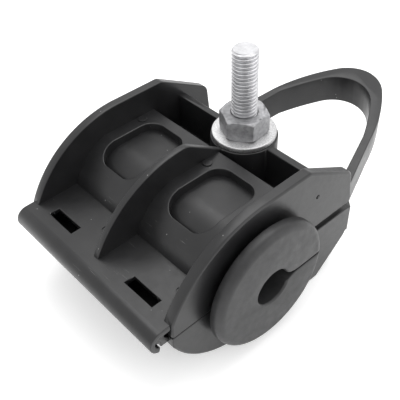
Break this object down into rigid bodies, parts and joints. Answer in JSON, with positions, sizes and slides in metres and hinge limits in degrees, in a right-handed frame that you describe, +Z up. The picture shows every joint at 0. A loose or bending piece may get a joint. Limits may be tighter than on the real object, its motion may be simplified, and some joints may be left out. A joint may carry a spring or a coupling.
{
  "type": "fibre cable suspension clamp",
  "caption": "Suspension clamp for an aerial fibre cable: hinged finned shells round a slit rubber sleeve, drawn together by a bolt and nut, with a moulded bail loop to hang it from",
  "frame": {"origin": "middle of the cable bore, on the plane where the two shells part", "axes": "+X along the cable, +Y from the hinge towards the bolt and the bail, +Z up along the bolt"},
  "size_m": [0.098, 0.1605, 0.0874],
  "materials": {
    "shell_plastic": "matte",
    "sleeve_rubber": "matte",
    "bolt_zinc": "satin",
    "washer_zinc": "satin",
    "nut_zinc": "satin"
  },
  "bodies": {
    "lower": {"lower_shell": "shell_plastic", "cable_sleeve": "sleeve_rubber", "clamp_bolt": "bolt_zinc"},
    "jaw": {"upper_shell": "shell_plastic"},
    "washer": {"flat_washer": "washer_zinc"},
    "nut": {"hex_nut": "nut_zinc"}
  },
  "joints": [
    {"name": "jaw_swing", "type": "hinge", "parent": "lower", "child": "jaw", "pos_m": [0, -0.043, 0.0016], "axis": [1, 0, 0], "range_deg": [0, 6.95]},
    {"name": "washer_lift", "type": "slide", "parent": "lower", "child": "washer", "axis": [0, 0, 1], "range_m": [0, 0.01101]},
    {"name": "nut_spin", "type": "hinge", "parent": "washer", "child": "nut", "pos_m": [0, 0.034, 0.0281], "axis": [0, 0, 1], "range_deg": [0, 2640]}
  ],
  "couplings": [
    {"joint": "nut_spin", "follows": "washer_lift", "rad_per_m": 4188.8},
    {"joint": "jaw_swing", "follows": "washer_lift", "rad_per_m": 11}
  ]
}
